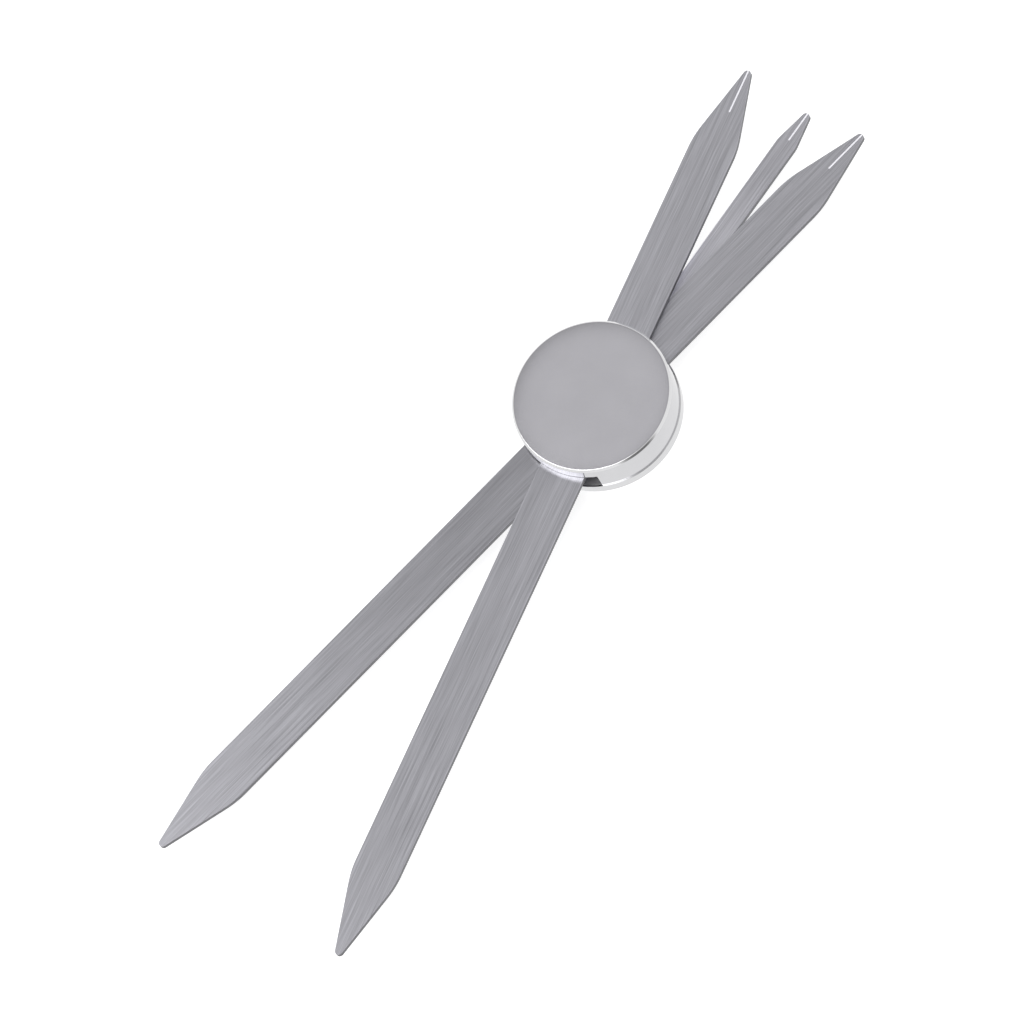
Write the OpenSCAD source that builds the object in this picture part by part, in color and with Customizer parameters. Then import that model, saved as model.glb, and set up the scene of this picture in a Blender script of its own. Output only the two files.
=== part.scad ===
// Golden ratio caliper: two crossed steel legs and a middle pointer on one round hub.
// The pivot divides each leg in the golden ratio, so the long end always opens 1.618 times
// as far as the short end. An epicyclic gear train in the hub swings the legs apart at
// 63:39 = 1.615, which keeps the pointer near the golden section of the short opening.
// Units are millimetres. The pivot is the Z axis, the hub stands on Z = 0 and the pointer
// lies along +Y.

/* [Legs] */
// Reach of a leg from the pivot to its tip on the three-tip end
short_reach = 60.5; // [45:0.1:90]
// Width of a leg
leg_w = 7.8; // [6:0.1:10]
// Thickness of a leg
leg_t = 0.9; // [0.6:0.05:1.5]
// Length of the tapered end of a leg
leg_taper = 13.3; // [8:0.1:20]
// Radius of a leg's rounded tip
leg_tip_r = 0.65; // [0.3:0.05:1.5]
// Radius that blends a leg's side into its taper
leg_shoulder_r = 16; // [4:0.5:24]

/* [Pointer] */
// Reach of the pointer from the pivot to its tip
pointer_reach = 58.5; // [42:0.1:88]
// Width of the pointer
pointer_w = 3.5; // [2.5:0.1:5]
// Thickness of the pointer
pointer_t = 0.9; // [0.6:0.05:1.5]
// Length of the pointer's tapered end
pointer_taper = 6; // [4:0.1:9]
// Radius of the pointer's rounded tip
pointer_tip_r = 0.65; // [0.3:0.05:1.2]
// Radius that blends the pointer's side into its taper
pointer_shoulder_r = 6; // [2:0.5:10]

/* [Index lines] */
// Width of the line engraved at each of the three tips
line_w = 0.3; // [0.2:0.05:0.5]
// Depth of the engraved line
line_d = 0.12; // [0.05:0.01:0.3]
// Length of the line on a leg, from its tip
leg_line_l = 7.7; // [4:0.1:12]
// Length of the line on the pointer, from its tip
pointer_line_l = 5.4; // [3:0.1:8]

/* [Stored opening] */
// Angle from the pointer to the sun-gear leg
leg_1_rest = 11.35; // [6:0.05:18]
// Angle from the pointer to the ring-gear leg
leg_2_rest = 9.85; // [4:0.05:14]
// Angle that the sun-gear leg can still open
leg_1_open = 8.8; // [4:0.1:14]

/* [Hub] */
// Thickness of the base plate at its rim
base_t = 2.1; // [1.6:0.1:3]
// Height of the spigot that carries the pointer above the base plate's rim
seat_h = 0.5; // [0.3:0.1:1]
// Wall of the case round the gear cavity
case_wall = 3.2; // [2.8:0.1:4.5]
// Thickness of the case's roof
roof_t = 1.3; // [1:0.1:2]
// Radius of the case's upper edge
case_edge_r = 0.35; // [0.1:0.05:0.8]
// Width that the base plate stands out past the case
base_lip = 0.2; // [0:0.05:0.6]
// Chamfer of the base plate's lower edge
base_edge = 0.3; // [0.1:0.05:0.5]
// Chamfer on either side of the seam between case and base plate
seam_edge = 0.06; // [0.05:0.01:0.2]

/* [Gears] */
// Module of the gear teeth
gear_m = 0.25; // [0.2:0.01:0.3]
// Teeth of the sun gear, on the upper leg
sun_teeth = 39; // [27:6:51]
// Teeth of each planet pinion
planet_teeth = 12; // [12:6:18]
// Thickness of the sun gear
sun_t = 0.9; // [0.6:0.05:1.5]
// Rim of the ring gear outside its tooth roots
ring_rim = 1.3; // [1.1:0.1:2]
// Pressure angle of the teeth
pressure_angle = 25; // [20:1:28]
// Play between meshing teeth along the pitch circle
backlash = 0.08; // [0.04:0.01:0.12]

/* [Pivot and shims] */
// Diameter of the pivot pin
pin_d = 4; // [3:0.1:5]
// Depth of the pivot pin in the base plate and its spigot
pin_foot = 2.1; // [1:0.1:2.2]
// Depth of the pivot pin's head in the case's roof
pin_head = 0.6; // [0.4:0.1:0.8]
// Thickness of a shim between two bars
shim_t = 0.15; // [0.1:0.01:0.3]
// Outer diameter of a shim
shim_d = 10; // [7:0.5:11]
// Outer diameter of the cone spring that loads the stack
spring_d = 8.6; // [6:0.1:9]
// Thickness of the cone spring
spring_t = 0.15; // [0.1:0.01:0.2]
// Thickness of the friction washer under the cone spring
washer_t = 0.1; // [0.05:0.01:0.15]
// Depth of the spring's pocket in the roof
spring_pocket = 0.3; // [0.2:0.05:0.4]

/* [Fasteners] */
// Thread diameter of a base screw
screw_d = 1.4; // [1:0.1:1.6]
// Head diameter of a base screw
screw_head_d = 2.6; // [2:0.1:2.8]
// Length of a base screw over its head
screw_l = 4.6; // [3.6:0.1:5.2]
// Width of the driver slot in a screw head
screw_slot_w = 0.4; // [0.3:0.05:0.6]
// Depth of the driver slot in a screw head
screw_slot_d = 0.35; // [0.2:0.05:0.45]
// Distance of a screw from the wall of the gear cavity
screw_inset = 1.4; // [1.1:0.1:1.6]
// Angle between a screw and the middle of its wall
screw_spread = 30; // [20:1:36]
// Diameter of a dowel that keys the pointer to the base plate
dowel_d = 1.2; // [0.8:0.1:1.6]
// Depth of a dowel in the base plate
dowel_foot = 1.6; // [0.8:0.1:2]
// Diameter of a rivet that joins the sun gear to its leg
rivet_d = 0.8; // [0.5:0.1:1]
// Diameter of a pillar that lifts the ring gear over the upper leg
pillar_d = 1.4; // [1:0.1:1.8]
// Diameter of a pillar's riveted ends
pillar_end_d = 0.8; // [0.5:0.1:0.9]
// Angle between a pillar and the line square to its leg
pillar_spread = 14; // [8:1:20]
// Diameter of a planet post
post_d = 1; // [0.6:0.1:1.2]
// Diameter of a planet post's shoulder under the roof
post_shoulder_d = 1.8; // [1.4:0.1:2.2]
// Depth of a planet post in the roof
post_head = 0.6; // [0.4:0.1:0.8]

/* [Clearances] */
// Radial clearance of a running fit
running = 0.03; // [0.01:0.01:0.06]
// Radial clearance of a fixed fit
fixed = 0.01; // [0.005:0.005:0.02]
// Gap between the ring gear and the case
cavity_gap = 0.36; // [0.2:0.02:0.6]
// Headroom over the gears
headroom = 0.2; // [0.15:0.05:0.4]
// Gap between a planet and the shoulder of its post
planet_gap = 0.1; // [0.05:0.01:0.12]
// Gap round the cone spring, at the pivot pin and in its pocket
spring_gap = 0.2; // [0.1:0.05:0.4]
// Spare depth of a tapped hole past its screw
tap_spare = 0.3; // [0.1:0.1:0.6]
// Gap under the planets and the ring gear, over the upper leg
deck_gap = 0.15; // [0.1:0.05:0.3]
// Gap over the upper leg in its slot
slot_gap = 0.1; // [0.05:0.05:0.3]
// Gap beside a leg at the end of its slot
slot_side = 0.1; // [0.05:0.05:0.3]
// Margin of a bar's round eye outside the sun gear
eye_margin = 0.4; // [0.2:0.1:1]

/* [Hidden] */
$fn = 96;
golden = (1 + sqrt(5)) / 2;
long_reach = golden * short_reach;
over = 1;
planet_count = 3;
rivet_count = 3;
shoulder_steps = 6;
nose_steps = 16;
edge_steps = 8;

// Gear train
addendum = 0.8 * gear_m;
dedendum = 1.05 * gear_m;
flank_steps = 3;
ring_teeth = sun_teeth + 2 * planet_teeth;
planet_orbit = gear_m * (sun_teeth + planet_teeth) / 2;
ring_outer_r = pitch_r(ring_teeth) + dedendum + ring_rim;
eye_r = pitch_r(sun_teeth) + addendum + eye_margin;
leg_2_open = leg_1_open * sun_teeth / ring_teeth;

// Levels, from the table up
seat_z = base_t + seat_h;
leg_2_z = seat_z + pointer_t + shim_t;
leg_1_z = leg_2_z + leg_t + shim_t;
deck_z = leg_1_z + leg_t;
gear_z = deck_z + deck_gap;
gear_top = deck_z + sun_t;
gear_t = gear_top - gear_z;
roof_z = gear_top + headroom;
hub_h = roof_z + roof_t;
slot_top = deck_z + slot_gap;

// Radii
pin_r = pin_d / 2;
cavity_r = ring_outer_r + cavity_gap;
hub_r = cavity_r + case_wall;
base_r = hub_r + base_lip;
spigot_r = cavity_r - fixed;
rivet_orbit = (pin_r + pitch_r(sun_teeth) - dedendum) / 2;
dowel_orbit = (pin_r + eye_r) / 2;
pillar_orbit = ring_outer_r - ring_rim / 2;
screw_orbit = cavity_r + screw_inset;
spring_bore_r = pin_r + spring_gap;
spring_pocket_r = spring_d / 2 + spring_gap;

// Directions, counted anticlockwise from the pointer
leg_1_limit = leg_1_rest + leg_1_open;
leg_2_limit = leg_2_rest + leg_2_open;
slot_half_w = leg_w / 2 + slot_side;
slot_left = leg_1_limit + asin(slot_half_w / hub_r);
slot_right = -leg_2_limit - asin(slot_half_w / hub_r);
wall_middle = (slot_left + slot_right + 180) / 2;
screw_angles = [for (side = [0, 180], turn = [-1, 1]) wall_middle + side + turn * screw_spread];
pillar_angles = [for (side = [-90, 90], turn = [-1, 1]) side + turn * pillar_spread - leg_2_rest];
rivet_angles = [for (i = [0:rivet_count - 1]) leg_1_rest + 360 * i / rivet_count];
dowel_angles = [-90, 90];
post_angles = [for (i = [0:planet_count - 1]) 360 * i / planet_count];

// Colours
steel = "#9f9fa5";
bright = "#d4d4d8";
brass = "#c9a352";
dark = "#77777c";

// Gear geometry: the tooth flank is an involute of the base circle
function pitch_r(teeth) = gear_m * teeth / 2;
function involute(angle) = tan(angle) * 180 / PI - angle;
function pressure_at(teeth, r) = acos(min(1, pitch_r(teeth) * cos(pressure_angle) / r));
function play(teeth) = backlash / 4 / pitch_r(teeth) * 180 / PI;
function half_tooth(teeth, r, slack) =
    90 / teeth + slack + involute(pressure_angle) - involute(pressure_at(teeth, r));
function gear_outline(teeth, root_r, tip_r, slack) =
    [for (i = [0:teeth - 1], step = [0:2 * flank_steps + 1])
        let (rising = step <= flank_steps,
             rise = rising ? step : 2 * flank_steps + 1 - step,
             r = root_r + (tip_r - root_r) * rise / flank_steps,
             turn = half_tooth(teeth, r, slack) * (rising ? -1 : 1))
        along(360 * i / teeth + turn, r)];

// A point at a distance from the pivot, with its angle counted anticlockwise from the pointer
function along(angle, r) = [-r * sin(angle), r * cos(angle)];

// Turn of planet gear and ring gear that sets their teeth in mesh with the sun's
function planet_turn(angle) =
    angle + 180 - 180 / planet_teeth + angle * sun_teeth / planet_teeth;
ring_turn = planet_turn(0) * planet_teeth / ring_teeth;

// Outline of a bar's pointed end, from its right side over the tip to its left side
function arc(centre, r, from, to, steps) =
    [for (i = [0:steps]) let (a = from + (to - from) * i / steps) centre + r * [cos(a), sin(a)]];
function taper_angle(half_w, taper, tip_r) =
    acos(tip_r / norm([half_w, taper - tip_r])) - atan2(taper - tip_r, half_w);
function bar_end(half_w, reach, taper, tip_r, shoulder_r) =
    let (turn = taper_angle(half_w, taper, tip_r),
         shoulder = [half_w - shoulder_r, reach - taper - shoulder_r * tan(turn / 2)])
    concat(arc(shoulder, shoulder_r, 0, turn, shoulder_steps),
           arc([0, reach - tip_r], tip_r, turn, 180 - turn, nose_steps),
           arc([-shoulder[0], shoulder[1]], shoulder_r, 180 - turn, 180, shoulder_steps));

module at_angles(angles, orbit) {
    for (a = angles) rotate(a) translate([0, orbit, 0]) children();
}

module ring(outer_r, inner_r, h) {
    difference() {
        cylinder(r = outer_r, h = h);
        translate([0, 0, -over]) cylinder(r = inner_r, h = h + 2 * over);
    }
}

module engraved_line(reach, length, top) {
    translate([-line_w / 2, reach - length, top - line_d]) cube([line_w, length + over, line_d + over]);
}

// A leg lies along Y with its round eye on the pivot and its underside on Z = 0
module leg_blank(centre_r) {
    short_end = bar_end(leg_w / 2, short_reach, leg_taper, leg_tip_r, leg_shoulder_r);
    long_end = bar_end(leg_w / 2, long_reach, leg_taper, leg_tip_r, leg_shoulder_r);
    difference() {
        union() {
            linear_extrude(leg_t) polygon(concat(short_end, -long_end));
            cylinder(r = centre_r, h = leg_t);
        }
        translate([0, 0, -over]) cylinder(r = pin_r + running, h = leg_t + 2 * over);
        engraved_line(short_reach, leg_line_l, leg_t);
    }
}

// Space that the bars sweep through the case's wall, on the three-tip side
module swing_space() {
    half_turn = (leg_1_limit + leg_2_limit) / 2;
    apex = along((leg_1_limit - leg_2_limit) / 2, -slot_half_w / sin(half_turn));
    reach = 4 * hub_r;
    translate([0, 0, base_t - over])
        linear_extrude(slot_top - base_t + over)
            polygon([apex, apex + along(-leg_2_limit, reach), apex + along(leg_1_limit, reach)]);
}

module top_case() {
    profile = concat([[cavity_r, base_t], [hub_r - seam_edge, base_t], [hub_r, base_t + seam_edge]],
                     arc([hub_r - case_edge_r, hub_h - case_edge_r], case_edge_r, 0, 90, edge_steps),
                     [[0, hub_h], [0, roof_z], [cavity_r, roof_z]]);
    color(bright)
        difference() {
            rotate_extrude() polygon(profile);
            for (side = [0, 180]) rotate(side) swing_space();
            translate([0, 0, roof_z - over]) {
                cylinder(r = spring_pocket_r, h = spring_pocket + over);
                cylinder(r = pin_r + fixed, h = pin_head + over);
                at_angles(post_angles, planet_orbit) cylinder(d = post_d + 2 * fixed, h = post_head + over);
            }
            translate([0, 0, base_t - over])
                at_angles(screw_angles, screw_orbit)
                    cylinder(d = screw_d + 2 * fixed, h = screw_l - base_t + tap_spare + over);
        }
}

module base_plate() {
    profile = [[0, 0], [base_r - base_edge, 0], [base_r, base_edge], [base_r, base_t - seam_edge],
               [base_r - seam_edge, base_t], [spigot_r, base_t], [spigot_r, seat_z], [0, seat_z]];
    color(bright)
        difference() {
            rotate_extrude() polygon(profile);
            translate([0, 0, seat_z - pin_foot]) cylinder(r = pin_r + fixed, h = pin_foot + over);
            translate([0, 0, seat_z - dowel_foot])
                at_angles(dowel_angles, dowel_orbit) cylinder(d = dowel_d + 2 * fixed, h = dowel_foot + over);
            at_angles(screw_angles, screw_orbit) screw_shape(fixed, over);
        }
}

// A countersunk screw standing on its head, larger by a clearance where it cuts its seat
module screw_shape(clearance, below) {
    head_h = (screw_head_d - screw_d) / 2;
    translate([0, 0, -below]) cylinder(d = screw_head_d + 2 * clearance, h = below);
    cylinder(d1 = screw_head_d + 2 * clearance, d2 = screw_d + 2 * clearance, h = head_h);
    cylinder(d = screw_d + 2 * clearance, h = screw_l);
}

module base_screws() {
    color(dark)
        at_angles(screw_angles, screw_orbit)
            difference() {
                screw_shape(0, 0);
                translate([-screw_head_d, -screw_slot_w / 2, -over])
                    cube([2 * screw_head_d, screw_slot_w, screw_slot_d + over]);
            }
}

module pivot_pin() {
    color(dark)
        translate([0, 0, seat_z - pin_foot]) cylinder(r = pin_r, h = roof_z + pin_head - seat_z + pin_foot);
}

module pointer() {
    pointed_end = bar_end(pointer_w / 2, pointer_reach, pointer_taper, pointer_tip_r, pointer_shoulder_r);
    tail = [[-pointer_w / 2, 0], [pointer_w / 2, 0]];
    color(steel)
        translate([0, 0, seat_z])
            difference() {
                union() {
                    linear_extrude(pointer_t) polygon(concat(tail, pointed_end));
                    cylinder(r = eye_r, h = pointer_t);
                }
                translate([0, 0, -over]) {
                    cylinder(r = pin_r + fixed, h = pointer_t + 2 * over);
                    at_angles(dowel_angles, dowel_orbit)
                        cylinder(d = dowel_d + 2 * fixed, h = pointer_t + 2 * over);
                }
                engraved_line(pointer_reach, pointer_line_l, pointer_t);
            }
}

module pointer_dowels() {
    color(dark)
        translate([0, 0, seat_z - dowel_foot])
            at_angles(dowel_angles, dowel_orbit) cylinder(d = dowel_d, h = dowel_foot + pointer_t);
}

module planet_posts() {
    color(dark)
        at_angles(post_angles, planet_orbit) {
            translate([0, 0, gear_z]) cylinder(d = post_d, h = roof_z + post_head - gear_z);
            translate([0, 0, gear_top + planet_gap]) cylinder(d = post_shoulder_d, h = headroom - planet_gap);
        }
}

// Cone spring pressed between the friction washer and its pocket in the roof
module cone_spring() {
    spring_h = headroom + spring_pocket - washer_t;
    color(dark)
        translate([0, 0, gear_top + washer_t])
            rotate_extrude()
                polygon([[spring_d / 2, 0], [spring_d / 2, spring_t], [spring_bore_r, spring_h],
                         [spring_bore_r, spring_h - spring_t]]);
}

module friction_washer() {
    color(brass) translate([0, 0, gear_top]) ring(spring_d / 2, pin_r + running, washer_t);
}

module shim() {
    color(brass) ring(shim_d / 2, pin_r + running, shim_t);
}

module lower_shim() {
    translate([0, 0, leg_2_z - shim_t]) shim();
}

module upper_shim() {
    translate([0, 0, leg_1_z - shim_t]) shim();
}

module leg_1() {
    color(steel)
        translate([0, 0, leg_1_z])
            difference() {
                rotate(leg_1_rest) leg_blank(eye_r);
                translate([0, 0, -over])
                    at_angles(rivet_angles, rivet_orbit)
                        cylinder(d = rivet_d + 2 * fixed, h = leg_t + 2 * over);
            }
}

module sun_gear() {
    color(brass)
        translate([0, 0, deck_z])
            difference() {
                linear_extrude(sun_t)
                    polygon(gear_outline(sun_teeth, pitch_r(sun_teeth) - dedendum,
                                         pitch_r(sun_teeth) + addendum, -play(sun_teeth)));
                translate([0, 0, -over]) {
                    cylinder(r = pin_r + running, h = sun_t + 2 * over);
                    at_angles(rivet_angles, rivet_orbit)
                        cylinder(d = rivet_d + 2 * fixed, h = sun_t + 2 * over);
                }
            }
}

module sun_rivets() {
    color(dark)
        translate([0, 0, leg_1_z])
            at_angles(rivet_angles, rivet_orbit) cylinder(d = rivet_d, h = leg_t + sun_t);
}

module leg_2() {
    color(steel)
        translate([0, 0, leg_2_z])
            difference() {
                rotate(-leg_2_rest) leg_blank(ring_outer_r);
                translate([0, 0, -over])
                    at_angles(pillar_angles, pillar_orbit)
                        cylinder(d = pillar_end_d + 2 * fixed, h = leg_t + 2 * over);
            }
}

module ring_gear() {
    color(brass)
        translate([0, 0, gear_z])
            difference() {
                cylinder(r = ring_outer_r, h = gear_t);
                translate([0, 0, -over]) {
                    linear_extrude(gear_t + 2 * over)
                        rotate(ring_turn)
                            polygon(gear_outline(ring_teeth, pitch_r(ring_teeth) - addendum,
                                                 pitch_r(ring_teeth) + dedendum, play(ring_teeth)));
                    at_angles(pillar_angles, pillar_orbit)
                        cylinder(d = pillar_end_d + 2 * fixed, h = gear_t + 2 * over);
                }
            }
}

module ring_pillars() {
    color(dark)
        at_angles(pillar_angles, pillar_orbit) {
            translate([0, 0, leg_2_z]) cylinder(d = pillar_end_d, h = gear_top - leg_2_z);
            translate([0, 0, leg_2_z + leg_t]) cylinder(d = pillar_d, h = gear_z - leg_2_z - leg_t);
        }
}

module planet_gear(angle) {
    color(brass)
        rotate(angle)
            translate([0, planet_orbit, gear_z])
                difference() {
                    rotate(planet_turn(angle) - angle)
                        linear_extrude(gear_t)
                            polygon(gear_outline(planet_teeth, pitch_r(planet_teeth) - dedendum,
                                                 pitch_r(planet_teeth) + addendum, -play(planet_teeth)));
                    translate([0, 0, -over]) cylinder(d = post_d + 2 * running, h = gear_t + 2 * over);
                }
}

top_case();
base_plate();
base_screws();
pivot_pin();
pointer();
pointer_dowels();
planet_posts();
cone_spring();
friction_washer();
lower_shim();
upper_shim();
leg_1();
sun_gear();
sun_rivets();
leg_2();
ring_gear();
ring_pillars();
planet_gear(post_angles[0]);  // planet_gear_1
planet_gear(post_angles[1]);  // planet_gear_2
planet_gear(post_angles[2]);  // planet_gear_3
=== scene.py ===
"""Golden ratio caliper in brushed and polished steel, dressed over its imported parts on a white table."""
import math

import bmesh
import bpy
from bpy.props import FloatProperty, FloatVectorProperty, IntProperty, PointerProperty
from mathutils import Matrix, Vector


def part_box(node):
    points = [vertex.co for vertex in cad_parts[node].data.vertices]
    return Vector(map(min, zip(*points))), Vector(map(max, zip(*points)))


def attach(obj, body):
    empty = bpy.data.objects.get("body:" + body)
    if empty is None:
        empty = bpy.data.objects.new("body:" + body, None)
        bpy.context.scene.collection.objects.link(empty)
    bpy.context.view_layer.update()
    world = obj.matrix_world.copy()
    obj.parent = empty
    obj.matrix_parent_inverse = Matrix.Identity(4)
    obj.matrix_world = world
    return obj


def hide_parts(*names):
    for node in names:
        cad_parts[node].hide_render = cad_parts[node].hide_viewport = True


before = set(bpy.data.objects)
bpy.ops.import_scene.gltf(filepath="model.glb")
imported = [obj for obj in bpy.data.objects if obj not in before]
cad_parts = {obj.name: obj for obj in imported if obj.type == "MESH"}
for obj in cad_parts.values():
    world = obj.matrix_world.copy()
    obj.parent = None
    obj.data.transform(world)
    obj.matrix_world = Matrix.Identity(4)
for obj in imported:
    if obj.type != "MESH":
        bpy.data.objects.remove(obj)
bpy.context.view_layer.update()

bl_info = {
    "name": "Golden ratio caliper",
    "version": (1, 0, 0),
    "blender": (4, 5, 0),
    "location": "3D View > Sidebar > Caliper",
    "description": "Dresses a golden ratio caliper in steel, brass and white line fill",
    "category": "Object",
}

MM = 0.001
GOLDEN = (1 + math.sqrt(5)) / 2
GRAIN_MAP = "grain"

# Power of the curve in which the roof falls towards its rim
DOME_POWER = 6

# Steps of the round stretches
DOME_STEPS = 48
RIM_STEPS = 10
EDGE_FOOT_STEPS = 6
SHOULDER_STEPS = 16
NOSE_STEPS = 32
EYE_STEPS = 48
LINE_NOSE_STEPS = 8
CIRCLE_STEPS = 96

# Reach of a cutter past what it cuts, height of a seat against its part, and a wedge's reach in radii
OVER = 1 * MM
SEAT_STRETCH = 1.01
WEDGE_REACH = 4

# Distances within which points are welded: on a lathe's axis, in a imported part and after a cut
AXIS_WELD = 0.0001 * MM
PART_WELD = 0.001 * MM
CUT_WELD = 0.002 * MM

# Size of the slivers that are taken away after a cut, and the most sides of a hole that is closed
SLIVER = 0.0002 * MM
HOLE_SIDES = 6

# Angle from which two faces meet in a crease
CREASE = math.radians(30)

# Upright share of a normal from which a face of a bar is broad, and one of the hub level
BROAD_NORMAL = 0.5
LEVEL_NORMAL = 0.99

# Zones with a finish of their own, counted in widths of the edge or the foot and in thicknesses of the roof
EDGE_ZONE = 1.5
FOOT_ZONE = 1.1
ROOF_ZONE = 1.1

# Values between which nearly all of the noise lies
NOISE_SPAN = (0.3, 0.7)

# Light and glow of the open floor together, over 1 to keep it white
FLOOR_WHITE = 1.3

# How far the camera sees, in distances to what it aims at
CAMERA_REACH = 10

# Order of the finishes on a bar, on the case and on the base plate
BROAD_FACE, CUT_FACE = 0, 1
WALL_FACE, ROOF_FACE, INNER_FACE, EDGE_FACE = 0, 1, 2, 3
UNDER_FACE = 1

# Painted reflection: places along a bar, from the pivot towards its short tip, with the share of its colour
# there, lighter and darker along the bar in place of the light that it mirrors
UPPER_PAINTED_REFLECTION = ((-98 * MM, 1.1), (-72 * MM, 0.97), (-14 * MM, 0.97), (14 * MM, 1.0))
LOWER_PAINTED_REFLECTION = ((-98 * MM, 1.22), (-60 * MM, 0.98), (-32 * MM, 0.83), (-14 * MM, 0.83), (14 * MM, 1.0))
POINTER_PAINTED_REFLECTION = ((34 * MM, 1.22), (46 * MM, 0.96))

# Inner and outer angle, in degrees, of the soft round patches of the sky
VEIL_SPREAD = (14, 21)
PANEL_SPREAD = (2, 9)
CARD_SPREAD = (5, 26)
LAMP_SPREAD = (10, 17)


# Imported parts


def levels(node):
    """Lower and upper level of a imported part."""
    low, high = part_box(node)
    return low.z, high.z


def outer_radius(node):
    """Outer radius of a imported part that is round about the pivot."""
    low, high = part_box(node)
    return (high.x - low.x) / 2


# Properties


def length(name, description, default):
    """Length in metres."""
    return FloatProperty(name=name, description=description, default=default, unit="LENGTH", precision=5)


def angle(name, description, degrees):
    """Angle with its default in degrees."""
    return FloatProperty(name=name, description=description, default=math.radians(degrees), unit="ROTATION")


def share(name, description, default):
    """Share from 0 to 1."""
    return FloatProperty(name=name, description=description, default=default, subtype="FACTOR",
                         min=0, max=1)


def brightness(name, description, default):
    """Strength of a light or of a patch of the sky."""
    return FloatProperty(name=name, description=description, default=default, min=0)


def colour(name, description, default):
    """Linear colour."""
    return FloatVectorProperty(name=name, description=description, default=default, subtype="COLOR",
                               size=3, min=0, max=1)


class CaliperBars(bpy.types.PropertyGroup):
    """Sizes of the two legs, the pointer and their index lines."""
    leg_width: length("Leg width", "Width of a leg", 7.8 * MM)
    leg_reach: length("Leg reach", "Pivot to the tip of a leg's short end", 60.5 * MM)
    leg_taper: length("Leg taper", "Length of a leg's tapered end", 13.3 * MM)
    leg_tip: length("Leg tip", "Radius of a leg's rounded tip", 0.65 * MM)
    leg_shoulder: length("Leg shoulder", "Radius between a leg's side and its taper", 16 * MM)
    leg_1_angle: angle("Upper leg", "Angle from the pointer to the upper leg", 11.35)
    leg_2_angle: angle("Lower leg", "Angle from the pointer to the lower leg", -9.85)
    pointer_width: length("Pointer width", "Width of the pointer", 3.5 * MM)
    pointer_reach: length("Pointer reach", "Pivot to the tip of the pointer", 58.5 * MM)
    pointer_taper: length("Pointer taper", "Length of the pointer's tapered end", 6 * MM)
    pointer_tip: length("Pointer tip", "Radius of the pointer's rounded tip", 0.65 * MM)
    pointer_shoulder: length("Pointer shoulder", "Radius between the pointer's side and taper", 6 * MM)
    eye_margin: length("Eye margin", "Margin of a bar's round eye outside the sun gear", 0.4 * MM)
    pin_play: length("Pin play", "Radial play of a bar on the pivot pin", 0.03 * MM)
    edge_break: length("Edge break", "Width of the broken edges of a bar", 0.06 * MM)
    line_width: length("Line width", "Width of an index line", 0.3 * MM)
    line_depth: length("Line depth", "Depth of the groove of an index line", 0.12 * MM)
    line_fit: length("Line fit", "Gap between the white fill and its groove", 0.005 * MM)
    line_sink: length("Line sink", "How far the white fill lies below the bar's face", 0.015 * MM)
    leg_line: length("Leg line", "Length of the index line on a leg", 7.7 * MM)
    pointer_line: length("Pointer line", "Length of the index line on the pointer", 5.4 * MM)


class CaliperHub(bpy.types.PropertyGroup):
    """Sizes of the round case and its base plate."""
    wall: length("Wall", "Wall of the case round the gears", 3.2 * MM)
    roof: length("Roof", "Thickness of the case's roof", 1.3 * MM)
    edge: length("Edge", "Width of the case's bevelled upper edge", 0.38 * MM)
    edge_round: length("Edge round", "Radius between the roof and the bevel", 0.15 * MM)
    edge_foot: length("Edge foot", "Radius between the bevel and the wall", 0.05 * MM)
    dome: angle("Dome", "Slope at the edge of the roof, which polishing left slightly domed", 3.5)
    seam: length("Seam", "Chamfer on either side of the seam", 0.04 * MM)
    foot: length("Foot", "Chamfer of the base plate's lower edge", 0.3 * MM)
    spigot_fit: length("Spigot fit", "Gap between the base plate's spigot and the case", 0.01 * MM)
    slot_gap: length("Slot gap", "Gap over the upper leg in its slot", 0.1 * MM)
    slot_side: length("Slot side", "Gap beside a leg at the end of its slot", 0.1 * MM)
    leg_1_open: angle("Upper leg opening", "Angle that the upper leg can still open", 8.8)
    leg_2_open: angle("Lower leg opening", "Angle that the lower leg can still open", 5.45)
    pocket_gap: length("Pocket gap", "Gap round the cone spring in its pocket", 0.2 * MM)
    segments: IntProperty(name="Segments", description="Steps round the hub", default=256, min=32)


class CaliperFinishes(bpy.types.PropertyGroup):
    """Colours of the metals and the line fill."""
    # Painted light and shade: the three brushed colours are one steel, made lighter on the upper leg and
    # the pointer and darker on the lower leg, in place of the light that each mirrors
    upper_leg_lit_steel: colour("Upper leg steel", "Brushed faces of the upper leg", (0.515, 0.512, 0.55))
    lower_leg_shaded_steel: colour("Lower leg steel", "Brushed faces of the lower leg", (0.475, 0.472, 0.507))
    pointer_lit_steel: colour("Pointer steel", "Brushed faces of the pointer", (0.55, 0.545, 0.587))
    # Painted shade: the cut sides are dark partly as cut steel and partly as painted shade
    shaded_cut_steel: colour("Cut steel", "Cut sides of the legs and the pointer", (0.22, 0.22, 0.23))
    roof_steel: colour("Roof steel", "Satin top of the case", (0.76, 0.75, 0.795))
    edge_steel: colour("Edge steel", "Buffed upper edge of the case", (0.82, 0.82, 0.83))
    wall_steel: colour("Wall steel", "Polished wall of the case", (0.65, 0.65, 0.665))
    base_steel: colour("Base steel", "Polished rim of the base plate", (0.70, 0.70, 0.71))
    inner_steel: colour("Inner steel", "Machined inside of the hub", (0.74, 0.74, 0.75))
    brass: colour("Brass", "Gears", (0.78, 0.57, 0.26))
    bronze: colour("Bronze", "Shims and friction washer", (0.66, 0.42, 0.22))
    pin_steel: colour("Pin steel", "Pin, posts, dowels, rivets, pillars and screws", (0.46, 0.46, 0.48))
    spring_steel: colour("Spring steel", "Cone spring", (0.26, 0.27, 0.31))
    line_fill: colour("Line fill", "White fill of the index lines", (0.76, 0.755, 0.8))


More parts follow.
